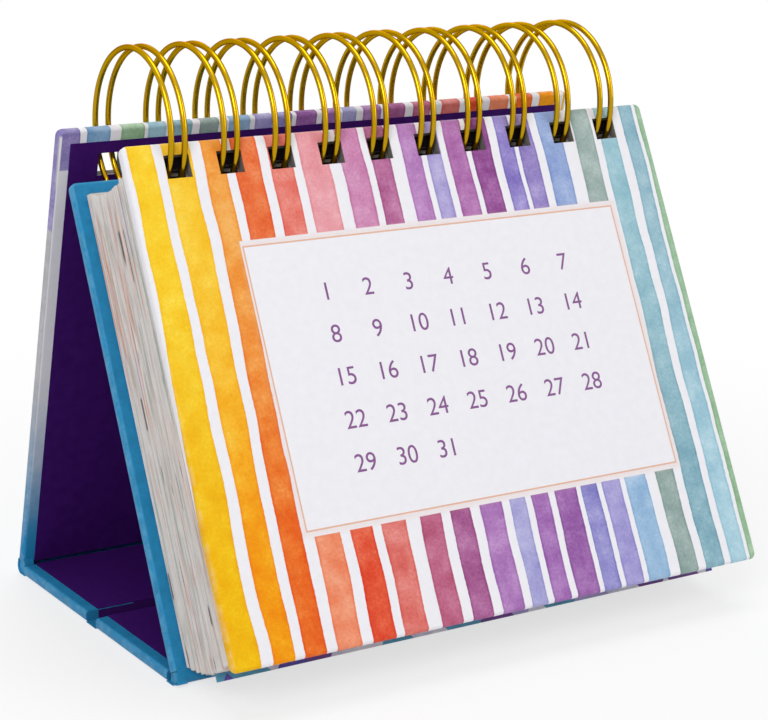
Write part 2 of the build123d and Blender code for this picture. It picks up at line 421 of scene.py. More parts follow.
def new_piece(name, mesh, material):
    piece = bpy.data.objects.new(name, mesh)
    bpy.context.scene.collection.objects.link(piece)
    mesh.materials.clear()
    mesh.materials.append(material)
    return piece


def add_piece(name, mesh, body, material, replaced=()):
    """Puts a mesh in the scene as a piece that rides on a body of the frame."""
    piece = new_piece(name, mesh, material)
    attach(piece, body)
    if replaced:
        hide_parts(*replaced)


def colour_setting(name, description, colour):
    """A setting that holds a linear colour."""
    return bpy.props.FloatVectorProperty(
        name=name, description=description, subtype="COLOR", size=3, min=0, max=1, default=colour
    )


class PaperSettings(bpy.types.PropertyGroup):
    """Colours of the case's paper and of the leaves."""

    ground: colour_setting(
        "Paper ground", "White of the painted sheet and the label", linear((236, 235, 240))
    )
    blue: colour_setting("Blue wrap", "Blue of front panel and base", linear((38, 136, 186)))
    violet: colour_setting("Violet liner", "Lining of the case", linear((58, 12, 98)))
    outline: colour_setting("Label outline", "Thin line round the label", linear((222, 168, 136)))
    ink: colour_setting("Number ink", "Day numbers on the label", linear((122, 66, 130)))
    stray: bpy.props.FloatProperty(
        name="Leaf stray", description="How far a leaf strays to the side of its neighbours",
        unit="LENGTH", subtype="DISTANCE", min=0, max=0.001, default=0.0002,
    )


class WireSettings(bpy.types.PropertyGroup):
    """Gold finish of the twin loop wire."""

    gold: colour_setting("Gold", "Colour of the coated wire", linear((188, 150, 20)))
    polish: bpy.props.FloatProperty(
        name="Polish", description="Roughness of the wire's coat", min=0, max=1, default=0.2
    )


class StageSettings(bpy.types.PropertyGroup):
    """Floor, lamps and camera."""

    camera_place: bpy.props.FloatVectorProperty(
        name="Camera place", description="Where the camera stands",
        unit="LENGTH", subtype="TRANSLATION", size=3, default=(-0.2695, -0.4001, 0.1814),
    )
    camera_turn: bpy.props.FloatVectorProperty(
        name="Camera turn", description="Turn to the right, tilt upwards and roll",
        unit="ROTATION", size=3,
        default=(math.radians(30.05), math.radians(-13.01), math.radians(0.28)),
    )
    lens: bpy.props.FloatProperty(
        name="Lens", description="Focal length in millimetres on a 36 mm sensor",
        min=10, default=101.0,
    )
    shift: bpy.props.FloatVectorProperty(
        name="Lens shift", description="Shift of the picture to the right and upwards",
        size=2, default=(0.1842, -0.0813),
    )
    floor: colour_setting("Floor", "Pale floor under the calendar", (0.9, 0.9, 0.91))


def label_print(graph, colour, across, rise, label):
    """Clears the stripes from the label, and prints its thin outline with a soft halo."""
    paper = bpy.context.scene.calendar_paper
    ground, outline = tuple(paper.ground), tuple(paper.outline)
    left, right, low, high = label
    beside = graph.less(graph.size(graph.less(across, (left + right) / 2)), (right - left) / 2)
    beyond = graph.less(graph.size(graph.less(rise, (low + high) / 2)), (high - low) / 2)
    clear = graph.most(graph.less(beside, 0.6), graph.less(beyond, 1.3))
    colour = graph.mix(graph.fade(clear, -0.08, 0.08), ground, colour)
    rim = graph.most(beside, beyond)
    halo = graph.times(graph.fade(rim, 0.0, 0.05), graph.fade(rim, 0.3, 2.2, 0.2, 0.0))
    colour = graph.mix(halo, colour, outline)
    return graph.mix(graph.fade(graph.size(rim), 0.12, 0.22, 0.9, 0.0), colour, outline)


def turned_margin(graph, colour, point, side, rise, below, blot):
    """Bare paper where the back panel's sheet is turned in, and blue that runs up from its foot."""
    paper = bpy.context.scene.calendar_paper
    ground = tuple(paper.ground)
    depth = graph.less(graph.dot(point, OUT_BACK), REAR_CORNER.dot(OUT_BACK) / MM)
    inner = graph.fade(depth, -2.3, -2.1, 1.0, 0.0)
    outside = graph.fade(side, CASE_HALF - 0.5, CASE_HALF - 0.3)
    turn_in = graph.times(inner, graph.fade(side, CASE_HALF - 3.6, CASE_HALF - 3.2))
    unpainted = graph.fade(graph.less(below, graph.between(outside, 9.0, 23.5)), 0.0, 0.4)
    bare = graph.times(graph.most(outside, turn_in), unpainted)
    crease = graph.fade(graph.size(graph.less(side, CASE_HALF - 0.5)), 0.25, 0.45, 1.0, 0.0)
    near_top = graph.times(graph.fade(below, 0.8, 1.6), graph.fade(below, 11.0, 15.0, 1.0, 0.0))
    fold = graph.times(graph.times(crease, near_top), inner)
    # Painted shade: bare paper on the outside face is darkened to 0.55 of the paper; the turned-in
    # margin keeps 0.95.
    plain = graph.mix(outside, shade(ground, 0.95), shade(ground, 0.55))
    colour = graph.mix(graph.most(bare, fold), colour, plain)
    drift = graph.plus(rise, graph.times(blot, 16.0))
    return graph.mix(graph.fade(drift, 6.0, 56.0, 1.0, 0.0), colour, tuple(paper.blue))


def painted_sheet(name, across_axis, corner, up, height, half, label=None):
    """Wrapping paper with painted stripes, which leave a label clear on the cover."""
    material, graph, shader = new_material(name, 0.5, Specular_IOR_Level=0.1)
    place = graph.group("Sheet place", Corner=corner / MM, Across_axis=across_axis, Up_axis=up)
    across, rise, point = place["Across"], place["Up"], place["Point"]
    below = graph.less(height, rise)
    side = graph.size(graph.dot(point, ALONG_X))
    flat = graph.combine(across, rise)

    def around_zero(*settings):
        return graph.less(graph.noise(*settings), 0.5)

    sway = around_zero(graph.combine(across, rise, 7.0), 0.055, 1.0)
    ragged = around_zero(flat, 0.8, 3.0, 0.6)
    edge = graph.plus(graph.times(sway, 1.7), graph.times(ragged, 0.3))
    blot = around_zero(flat, 0.16, 4.0, 0.6)
    grains = around_zero(flat, 1.5, 3.0, 0.75)
    wash = graph.plus(graph.times(blot, 1.3), graph.times(grains, 0.7))
    ground = tuple(bpy.context.scene.calendar_paper.ground)
    unfolded = across
    if label:
        face = reach("front_cover_wrap", Vector(), OUT_FRONT)[1] / MM
        depth = graph.less(face, graph.dot(point, OUT_FRONT))
        unfolded = graph.less(across, graph.times(depth, graph.fade(across, 0.1, 0.5, 1.0, 0.0)))
    colour = graph.group(
        "Painted stripes", Across=graph.plus(unfolded, edge), Up=rise if label else below,
        Wash=wash, Ground=ground,
    )["Color"]
    if label:
        colour = label_print(graph, colour, across, rise, label)
    else:
        colour = turned_margin(graph, colour, point, side, rise, below, blot)
    grain = graph.group("Paper grain", Point=point, Fibre_size=0.35)
    tone = graph.ramp(grain["Tone"], [(0.3, (0.95, 0.95, 0.95)), (0.7, (1.0, 1.0, 1.0))])
    colour = graph.mix(1.0, colour, tone, "MULTIPLY")
    # Lightens the worn edges towards the paper's white, partly as a painted highlight.
    wear_and_highlight = graph.group("Worn and lit edge", Point=point, Beside=graph.less(half, side), Below=below)["Wear and highlight"]
    graph.feed(shader.inputs["Base Color"], graph.mix(graph.times(wear_and_highlight, 0.15), colour, ground))
    graph.feed(shader.inputs["Roughness"], graph.fade(grain["Tone"], 0.2, 0.8, 0.44, 0.6))
    add_bump(graph, shader, grain["Height"], 0.00002, 0.5)
    return material


def front_place(graph):
    """Place on the front panel, across from its middle and up from its foot."""
    return graph.group(
        "Sheet place", Corner=FRONT_CORNER / MM, Across_axis=ALONG_X, Up_axis=UP_FRONT
    )


def place_in_case(graph):
    """A point in millimetres, its distance from the middle, and its height on the front panel."""
    place = front_place(graph)
    return place["Point"], graph.size(place["Across"]), place["Up"]


def plain_wrap(name, colour, roughness, sheen, edge_colour):
    """Coloured paper or lining with fibres, cloudy tone, and worn edges with a painted highlight.
    """
    material, graph, shader = new_material(name, roughness, Specular_IOR_Level=sheen)
    point, side, rise = place_in_case(graph)
    grain = graph.group("Paper grain", Point=point, Fibre_size=0.4)
    deep = shade(colour, 0.84)
    light = tuple(min(1.0, c * 1.1 + 0.003) for c in colour)
    tinted = graph.ramp(grain["Tone"], [(0.32, deep), (0.68, light)])
    top = reach("front_panel_wrap", FRONT_CORNER, UP_FRONT)[1] / MM
    below = graph.size(graph.less(top, rise))
    beside = graph.less(CASE_HALF, side)
    wear_and_highlight = graph.group("Worn and lit edge", Point=point, Beside=beside, Below=below)["Wear and highlight"]
    # Worn edges, which are partly a painted highlight, take the lighter edge colour.
    tinted = graph.mix(graph.times(wear_and_highlight, 0.3), tinted, edge_colour)
    graph.feed(shader.inputs["Base Color"], tinted)
    dull = graph.fade(grain["Tone"], 0.25, 0.75, roughness - 0.06, roughness + 0.08)
    graph.feed(shader.inputs["Roughness"], dull)
    add_bump(graph, shader, grain["Height"], 0.00003, 0.6)
    return material


def papered_board(name, middle):
    """Board in thin pressed layers, with the wrap turned in at its sides and a middle colour."""
    paper = bpy.context.scene.calendar_paper
    material, graph, shader = new_material(name, 0.8, Specular_IOR_Level=0.2)
    point, side, _ = place_in_case(graph)
    grain = graph.group("Paper grain", Point=point, Fibre_size=0.25)
    colour = graph.ramp(grain["Tone"], [(0.3, shade(middle, 0.7)), (0.7, shade(middle, 1.1))])
    turned = graph.fade(side, CASE_HALF - 3.3, CASE_HALF - 3.0)
    colour = graph.mix(turned, colour, shade(paper.blue, 0.8))
    graph.feed(shader.inputs["Base Color"], colour)
    add_bump(graph, shader, grain["Height"], 0.00006)
    return material


def leaf_paper():
    """White leaves whose sides take the tints of a wash that is painted along them."""
    material, graph, shader = new_material("Leaf paper", 0.7, Specular_IOR_Level=0.2)
    point, side, rise = place_in_case(graph)
    order = graph.add("ShaderNodeAttribute", attribute_name="leaf_order").outputs["Fac"]
    tunnel_shade = graph.add("ShaderNodeAttribute", attribute_name="tunnel_shade").outputs["Fac"]
    along = graph.combine(graph.times(order, 0.33), graph.times(rise, 0.018))
    tint = graph.noise(along, 1.0, 3.0, 0.7)
    white = linear((232, 229, 227))
    colour = graph.ramp(
        tint,
        [
            (0.0, linear((154, 174, 182))), (0.34, linear((184, 195, 188))),
            (0.42, linear((208, 206, 202))), (0.48, white), (0.55, white),
            (0.59, linear((226, 194, 188))), (0.64, linear((224, 172, 142))),
            (0.69, linear((190, 172, 200))), (1.0, linear((168, 150, 186))),
        ],
    )
    dashes = graph.combine(graph.times(order, 1.1), graph.times(rise, 0.06), 31.0)
    dash = graph.fade(graph.noise(dashes, 1.0, 1.0), 0.7, 0.74, 0.0, 0.8)
    leaf_half = reach(f"{MONTHS[0]}_leaves", FRONT_CORNER, ALONG_X)[1] / MM
    edge = graph.fade(side, leaf_half - 1.4, leaf_half - 1.1)
    colour = graph.mix(graph.times(dash, edge), colour, linear((84, 78, 86)))
    wander = graph.times(graph.noise(point, 0.12, 2.0), 2.4)
    margin = graph.fade(graph.plus(side, wander), leaf_half - 5.4, leaf_half - 4.9, 0.0, 0.75)
    colour = graph.mix(graph.most(margin, edge), white, colour)
    # Painted shade: hole walls and covered paper inside the leaf block go near black.
    colour = graph.mix(graph.times(tunnel_shade, 0.9), colour, linear((38, 34, 44)))
    grain = graph.group("Paper grain", Point=point, Fibre_size=0.3)
    tone = graph.ramp(grain["Tone"], [(0.3, (0.92, 0.92, 0.92)), (0.7, (1.0, 1.0, 1.0))])
    graph.feed(shader.inputs["Base Color"], graph.mix(1.0, colour, tone, "MULTIPLY"))
    add_bump(graph, shader, grain["Height"], 0.00002, 0.5)
    return material


def printed_paper():
    """Card printed with a patchwork of lavender, indigo and teal triangles."""
    material, graph, shader = new_material("Printed card", 0.5, Specular_IOR_Level=0.25)
    place = front_place(graph)
    across, rise = place["Across"], place["Up"]
    steps = []
    for lean, width in ((0.9, 9.0), (-0.7, 13.0)):
        slanted = graph.plus(across, graph.times(rise, lean))
        steps.append(graph.math("FLOOR", graph.math("DIVIDE", slanted, width)))
    patch = graph.add("ShaderNodeTexWhiteNoise", noise_dimensions="2D")
    graph.feed(patch.inputs["Vector"], graph.combine(*steps))
    colour = graph.ramp(
        patch.outputs["Value"],
        [
            (0.0, linear((84, 74, 158))), (0.2, linear((208, 204, 222))),
            (0.42, linear((84, 152, 180))), (0.6, linear((222, 220, 230))),
            (0.82, linear((112, 66, 138))), (0.9, linear((170, 160, 206))),
        ],
        "CONSTANT",
    )
    flat = graph.combine(across, rise)
    wash = graph.noise(flat, 0.3, 3.0, 0.6)
    tone = graph.ramp(wash, [(0.3, (0.8, 0.8, 0.84)), (0.7, (1.0, 1.0, 1.0))])
    graph.feed(shader.inputs["Base Color"], graph.mix(1.0, colour, tone, "MULTIPLY"))
    grain = graph.group("Paper grain", Point=place["Point"], Fibre_size=0.3)
    add_bump(graph, shader, grain["Height"], 0.00002, 0.5)
    return material


def gold_coat():
    """Gold coated wire, darker towards its outline, with faint dull patches."""
    wire = bpy.context.scene.calendar_wire
    material, graph, shader = new_material(
        "Gold wire", wire.polish, Metallic=1.0, Specular_Tint=linear((150, 120, 60))
    )
    grain = graph.group("Paper grain", Point=front_place(graph)["Point"], Fibre_size=6.0)
    gold = tuple(wire.gold)
    colour = graph.ramp(grain["Tone"], [(0.3, shade(gold, 0.9)), (0.7, gold)])
    graph.feed(shader.inputs["Base Color"], colour)
    dull = graph.fade(grain["Tone"], 0.3, 0.7, wire.polish - 0.03, wire.polish + 0.05)
    graph.feed(shader.inputs["Roughness"], dull)
    return material


class CALENDAR_OT_case(bpy.types.Operator):
    """Papers the folding case: striped back panel, blue front panel and base, violet lining"""

    bl_idname = "calendar.dress_case"
    bl_label = "Dress the case"

    # The back panel's sheet: its stripes stand closer than the cover's, and run the other way.
    back_squeeze = 1.11
    back_start = 74.4 * MM
    # Where the paper round a bottom corner starts and stops bending, in millimetres.
    bend_span = (-0.6, 1.8)

    def execute(self, context):
        paper = context.scene.calendar_paper
        back_top = reach("back_panel_wrap", REAR_CORNER, UP_BACK)[1] / MM
        striped = painted_sheet(
            "Striped wrap, back", ALONG_X * -self.back_squeeze,
            REAR_CORNER + ALONG_X * self.back_start, UP_BACK, back_top, CASE_HALF,
        )
        blue = plain_wrap("Blue wrap", tuple(paper.blue), 0.46, 0.2, linear((120, 182, 214)))
        violet = plain_wrap("Violet liner", tuple(paper.violet), 0.7, 0.08, linear((96, 50, 130)))
        paint(striped, "back_panel_wrap")
        paint(blue, "front_panel_wrap")
        for panel in ("back_panel", "base_rear", "base_front", "front_panel"):
            paint(violet, f"{panel}_liner")
        grey = papered_board("Grey board", linear((122, 118, 116)))
        paint(grey, "back_panel_board", "front_cover_board")
        paint(papered_board("Dark board", linear((46, 52, 66))), "front_panel_board")
        lined = papered_board("Lined board ends", tuple(paper.violet))
        paint(lined, "base_rear_board", "base_front_board", "base_crease_strip")
        for base, panel, corner, inward, up, out, outer in (
            ("base_rear", "back_panel", REAR_CORNER, -ALONG_Y, UP_BACK, OUT_BACK, striped),
            ("base_front", "front_panel", FRONT_CORNER, ALONG_Y, UP_FRONT, OUT_FRONT, blue),
        ):
            bend = (up - inward).normalized() * MM
            bodies = (base, panel, *(corner + bend * place for place in self.bend_span))
            wrap = frame["nodes"][f"{base}_wrap"].data.copy()
            piece = self.bending_paper(f"{base}_paper", wrap, bodies, blue)
            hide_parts(f"{base}_wrap")
            self.bending_paper(f"{panel}_overlap", self.overlap(corner, up, out), bodies, outer)
            folds = self.corner_folds(corner, inward, up, out)
            self.bending_paper(f"{base}_corner_folds", folds, bodies, blue)
        return {"FINISHED"}

    def bending_paper(self, name, mesh, bodies, material):
        """Paper that goes round a corner of the case, added with its placement baked into the mesh.
        """
        piece = new_piece(name, mesh, material)
        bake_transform(piece)
        return piece

    def corner_folds(self, corner, inward, up, out):
        """Folded ends of the wrap that fill the corner between base and panel at both sides."""
        base_end, panel_end, paper = 3.7, 3.7, 0.3
        side_gap, fold_depth = 0.35, 2.4
        thick = PANEL_T / MM - paper
        ring = [
            corner + (inward * base_end + UPRIGHT * paper) * MM,
            corner + (inward * 1.6 + UPRIGHT * paper) * MM,
            corner + (inward * 0.7 + UPRIGHT * 0.6) * MM,
            corner + (up * 1.2 - out * paper) * MM,
            corner + (up * panel_end - out * paper) * MM,
            corner + (up * panel_end - out * thick) * MM,
            corner + (up * 4.6 - out * (thick + 0.1)) * MM,
            corner + (inward * base_end + UPRIGHT * thick) * MM,
        ]
        points, faces = [], []
        for x in (side_gap - CASE_HALF, CASE_HALF - side_gap - fold_depth):
            placed = [spot + ALONG_X * x * MM for spot in ring]
            add_prism(points, faces, placed, ALONG_X * fold_depth * MM)
        return solid_mesh("corner_folds", points, faces)

    def overlap(self, corner, up, out):
        """The wrap's lap over the joint between corner and panel, a thin strip that lies flush."""
        rises = [2.2, 2.5, 2.8, 3.1, 3.4, 4.2, 8.0, 12.0]
        sunk, flush, proud, side_gap = -0.02, 0.004, 0.04, 0.7
        half = (CASE_HALF - side_gap) * MM
        points, faces = [], []
        for i, rise in enumerate(rises):
            top = flush if i in (0, len(rises) - 1) else proud
            for x, depth in ((-half, sunk), (-half, top), (half, top), (half, sunk)):
                points.append(corner + up * rise * MM + out * depth * MM + ALONG_X * x)
        for i in range(len(rises) - 1):
            for k in range(4):
                a, b = 4 * i + k, 4 * i + (k + 1) % 4
                faces.append((a, b, b + 4, a + 4))
        last = 4 * (len(rises) - 1)
        faces += [(3, 2, 1, 0), (last, last + 1, last + 2, last + 3)]
        return solid_mesh("overlap", points, faces)


class CALENDAR_OT_cover(bpy.types.Operator):
    """Papers the front cover with painted stripes round a label of day numbers"""

    bl_idname = "calendar.dress_cover"
    bl_label = "Dress the cover"

    # The label from the cover's left and top edges and the steps of its numbers, in millimetres,
    # then the numbers' height and lift, and the tabs' places below the top edge and half width.
    label_across = (23.4, 122.6)
    label_down = (24.2, 85.6)
    column_step, row_step = 10.6, 9.4
    number_size = 5.6 * MM
    ink_lift = 0.02 * MM
    tab_down = (2.6 * MM, 5.3 * MM)
    tab_half = 3.1 * MM

    def execute(self, context):
        paper = context.scene.calendar_paper
        left = reach("front_cover_wrap", FRONT_CORNER, ALONG_X)[0]
        foot, head = reach("front_cover_wrap", FRONT_CORNER, UP_FRONT)
        face = reach("front_cover_wrap", FRONT_CORNER, OUT_FRONT)[1]
        height = (head - foot) / MM
        corner = FRONT_CORNER + UP_FRONT * foot + ALONG_X * left
        label = (*self.label_across, height - self.label_down[1], height - self.label_down[0])
        striped = painted_sheet(
            "Striped wrap, cover", ALONG_X, corner, UP_FRONT, height, -left / MM, label
        )
        violet = bpy.data.materials["Violet liner"]
        paint(striped, "front_cover_wrap")
        paint(violet, "front_cover_liner")
        self.day_numbers(paper, corner + OUT_FRONT * face, label)
        # Near-black tabs behind the holes: painted shade that makes the holes look dark.
        dark = linear((24, 18, 30))
        tab_shade = plain_wrap("Painted hole shade", dark, 0.8, 0.05, dark)
        add_piece("liner_tabs", self.liner_tabs(), "front_cover", tab_shade)
        return {"FINISHED"}

    def liner_tabs(self):
        """Tabs behind the upper half of the cover's holes, in the lining's layer; near black, as
        painted shade.
        """
        back, face = reach("front_cover_liner", FRONT_CORNER, OUT_FRONT)
        head = reach("front_cover_wrap", FRONT_CORNER, UP_FRONT)[1]
        high, low = (head - down for down in self.tab_down)
        points, faces = [], []
        for middle in loop_middles():
            left, right = middle - self.tab_half, middle + self.tab_half
            ring = [
                FRONT_CORNER + OUT_FRONT * back + UP_FRONT * rise + ALONG_X * x
                for x, rise in ((left, low), (right, low), (right, high), (left, high))
            ]
            add_prism(points, faces, ring, OUT_FRONT * (face - back))
        return solid_mesh("liner_tabs", points, faces)

    def day_numbers(self, paper, corner, label):
        """Plain numbers 1 to 31 in rows of seven, printed flat on the label."""
        material, graph, shader = new_material("Number ink", 0.5)
        grain = graph.noise(graph.add("ShaderNodeTexCoord").outputs["Object"], 2500.0, 3.0, 0.6)
        colour = graph.ramp(grain, [(0.3, shade(paper.ink, 0.85)), (0.7, shade(paper.ink, 1.15))])
        graph.feed(shader.inputs["Base Color"], colour)
        left, right, low, high = label
        turn = Matrix((ALONG_X, UP_FRONT, OUT_FRONT)).transposed().to_4x4()
        points, faces = [], []
        for day in range(1, 32):
            row, column = divmod(day - 1, 7)
            across = (left + right) / 2 + (column - 3) * self.column_step
            rise = (low + high) / 2 + (2 - row) * self.row_step
            text = bpy.data.curves.new(f"number_{day}", "FONT")
            text.body = str(day)
            text.size = self.number_size
            text.align_x = text.align_y = "CENTER"
            mesh = mesh_of_curve(text)
            spot = corner + (ALONG_X * across + UP_FRONT * rise) * MM + OUT_FRONT * self.ink_lift
            mesh.transform(Matrix.Translation(spot) @ turn)
            start = len(points)
            points += [tuple(v.co) for v in mesh.vertices]
            faces += [[start + i for i in p.vertices] for p in mesh.polygons]
            bpy.data.meshes.remove(mesh)
        printed = bpy.data.meshes.new("day_numbers")
        printed.from_pydata(points, [], faces)
        add_piece("day_numbers", printed, "front_cover", material)


class CALENDAR_OT_leaves(bpy.types.Operator):
    """Lays every leaf of the twelve month sets as a sheet of its own, with holes for the wire"""

    bl_idname = "calendar.lay_leaves"
    bl_label = "Lay the leaves"

    hole_width = 6.0 * MM
    hole_height = 5.0 * MM
    hole_margin = 1.9 * MM
    leaf_pitch = 0.058 * MM
    filled = 0.9
    slack = 0.55 * MM
    drift_kept = 0.93
    turn_spread = 0.0006
    card_turn = 0.002
    seed = 366

    def execute(self, context):
        stray = context.scene.calendar_paper.stray
        material = leaf_paper()
        chance = random.Random(self.seed)
        drift, order = 0.0, 0
        for month in MONTHS:
            node = f"{month}_leaves"
            side, foot, head, back, face = self.extent(node)
            count = max(2, round((face - back) / self.leaf_pitch))
            pitch = (face - back) / count
            points, faces, orders, tunnel_shade = [], [], [], []
            for i in range(count):
                drift = self.drift_kept * drift + chance.gauss(0, stray * 0.6)
                shift = max(-self.slack, min(self.slack, drift + chance.gauss(0, stray)))
                drop = chance.gauss(0, stray * 0.4)
                turn = chance.gauss(0, self.turn_spread)
                depth = back + i * pitch
                sheet = (side, foot, head, depth, depth + pitch * self.filled)
                covered = (i < count - 1, i > 0)
                self.add_leaf((points, faces, tunnel_shade), sheet, (shift, drop, turn), covered)
                orders += [float(order)] * (len(faces) - len(orders))
                order += 1
            mesh = bpy.data.meshes.new(f"{month}_sheets")
            mesh.from_pydata(points, [], faces)
            mesh.attributes.new("leaf_order", "FLOAT", "FACE").data.foreach_set("value", orders)
            # Per face, how much painted shade the hole tunnel gets.
            mesh.attributes.new("tunnel_shade", "FLOAT", "FACE").data.foreach_set("value", tunnel_shade)
            add_piece(f"{month}_sheets", mesh, f"{month}_set", material, [node])
        self.card()
        return {"FINISHED"}

    def extent(self, node):
        """Half the width of a sheet's node, then its foot, head, back and face."""
        side = reach(node, FRONT_CORNER, ALONG_X)[1]
        foot, head = reach(node, FRONT_CORNER, UP_FRONT)
        return side, foot, head, *reach(node, FRONT_CORNER, OUT_FRONT)

    def card(self):
        """The printed card, a stiffer leaf that hangs a little lower."""
        points, faces = [], []
        sheet = self.extent("printed_leaf")
        self.add_leaf((points, faces, []), sheet, (0.0, 0.0, self.card_turn), (False, False))
        mesh = bpy.data.meshes.new("printed_card")
        mesh.from_pydata(points, [], faces)
        add_piece(
            "printed_card", mesh, "printed_leaf_card", printed_paper(),
            ["printed_leaf"],
        )

    def add_leaf(self, lists, sheet, stray, covered):
        """Adds one sheet with holes, as cells between the edges of its holes.

        The holes' tunnel gets painted shade: their walls and the covered paper between them.
        """
        points, faces, tunnel_shade = lists
        side, foot, head, back, face = sheet
        shift, drop, turn = stray
        columns = [-side]
        for middle in loop_middles():
            columns += [middle - self.hole_width / 2, middle + self.hole_width / 2]
        columns.append(side)
        top = head - self.hole_margin
        rows = [foot, top - self.hole_height, top, head]
        start = len(points)
        for depth in (face, back):
            for rise in rows:
                for x in columns:
                    place = (
                        FRONT_CORNER + OUT_FRONT * depth + UP_FRONT * (rise + drop + turn * x)
                        + Vector((x + shift - turn * (rise - top), 0, 0))
                    )
                    points.append(tuple(place))
        wide, tall = len(columns), len(rows)

        def at(i, j, layer):
            return start + layer * wide * tall + j * wide + i

        def solid(i, j):
            return 0 <= i < wide - 1 and 0 <= j < tall - 1 and not (j == 1 and i % 2)

        for j in range(tall - 1):
            for i in range(wide - 1):
                if not solid(i, j):
                    continue
                ring = [(i, j), (i + 1, j), (i + 1, j + 1), (i, j + 1)]
                faces.append([at(*c, 0) for c in ring])
                faces.append([at(*c, 1) for c in reversed(ring)])
                # Painted shade on paper faces that a neighbouring leaf covers, inside the tunnel.
                inner = j and 0 < i < wide - 2
                tunnel_shade += [1.0 if hidden and inner else 0.0 for hidden in covered]
                beside = [(i, j - 1), (i + 1, j), (i, j + 1), (i - 1, j)]
                for k, neighbour in enumerate(beside):
                    if not solid(*neighbour):
                        a, b = ring[k], ring[(k + 1) % 4]
                        faces.append([at(*a, 0), at(*a, 1), at(*b, 1), at(*b, 0)])
                        # Hole walls get painted shade.
                        hole = 0 < neighbour[0] < wide - 1 and neighbour[1] == 1
                        tunnel_shade.append(1.0 if hole else 0.0)


class CALENDAR_OT_wire(bpy.types.Operator):
    """Bends the gold twin loop wire that carries the cover and the leaves"""

    bl_idname = "calendar.bend_wire"
    bl_label = "Bend the wire"

    ring_radius = 17.99 * MM
    thickness = 1.3 * MM
    spacing = 3.2 * MM
    link_angle = 229.0
    tip_angle = 236.0
    ring_steps = 96
    bend_steps = 8

    def execute(self, context):
        path = self.path()
        curve = bpy.data.curves.new("wire_path", "CURVE")
        curve.dimensions = "3D"
        curve.bevel_depth = self.thickness / 2
        curve.bevel_resolution = 6
        curve.use_fill_caps = True
        spline = curve.splines.new("POLY")
        spline.points.add(len(path) - 1)
        for point, place in zip(spline.points, path):
            point.co = (*place, 1)
        mesh = mesh_of_curve(curve)
        mesh.name = "gold_twin_loops"
        mesh.shade_smooth()
        add_piece("gold_twin_loops", mesh, "binding", gold_coat(), ["twin_loop_wire"])
        return {"FINISHED"}

    def on_ring(self, angle, x):
        turn, radius = math.radians(angle), self.ring_radius
        return RING + Vector((x, -radius * math.cos(turn), radius * math.sin(turn)))

    def along(self, angle):
        turn = math.radians(angle)
        return Vector((0, -math.sin(turn), -math.cos(turn)))

    def path(self):
        """Centre line of the wire: up and over, a hairpin tip, back, and on to the next loop."""
        bend = self.spacing / 2
        step = math.degrees(bend / self.ring_radius)
        start = self.link_angle - step
        end = self.tip_angle + step - 360
        steps = self.bend_steps
        over = [start + (end - start) * k / self.ring_steps for k in range(self.ring_steps + 1)]
        back, ahead = -self.along(start), self.along(end)
        line = []
        for x in loop_middles():
            left, right = x - bend, x + bend
            for k in range(steps):
                turn = math.pi / 2 * k / steps
                hub = self.on_ring(start, left - bend)
                line.append(hub + (back * math.cos(turn) + ALONG_X * math.sin(turn)) * bend)
            line += [self.on_ring(angle, left) for angle in over]
            for k in range(1, 2 * steps):
                turn = math.pi / 2 * k / steps
                hub = self.on_ring(end, x)
                line.append(hub + (ahead * math.sin(turn) - ALONG_X * math.cos(turn)) * bend)
            line += [self.on_ring(angle, right) for angle in reversed(over)]
            for k in range(1, steps + 1):
                turn = math.pi / 2 * k / steps
                hub = self.on_ring(start, right + bend)
                line.append(hub + (back * math.sin(turn) - ALONG_X * math.cos(turn)) * bend)
        return line


def seen_by_eye(graph):
    """1 for rays from the camera, also by way of a reflection or through something clear."""
    rays = graph.add("ShaderNodeLightPath").outputs
    bounced = graph.most(rays["Is Glossy Ray"], rays["Is Transmission Ray"])
    return graph.most(rays["Is Camera Ray"], bounced)


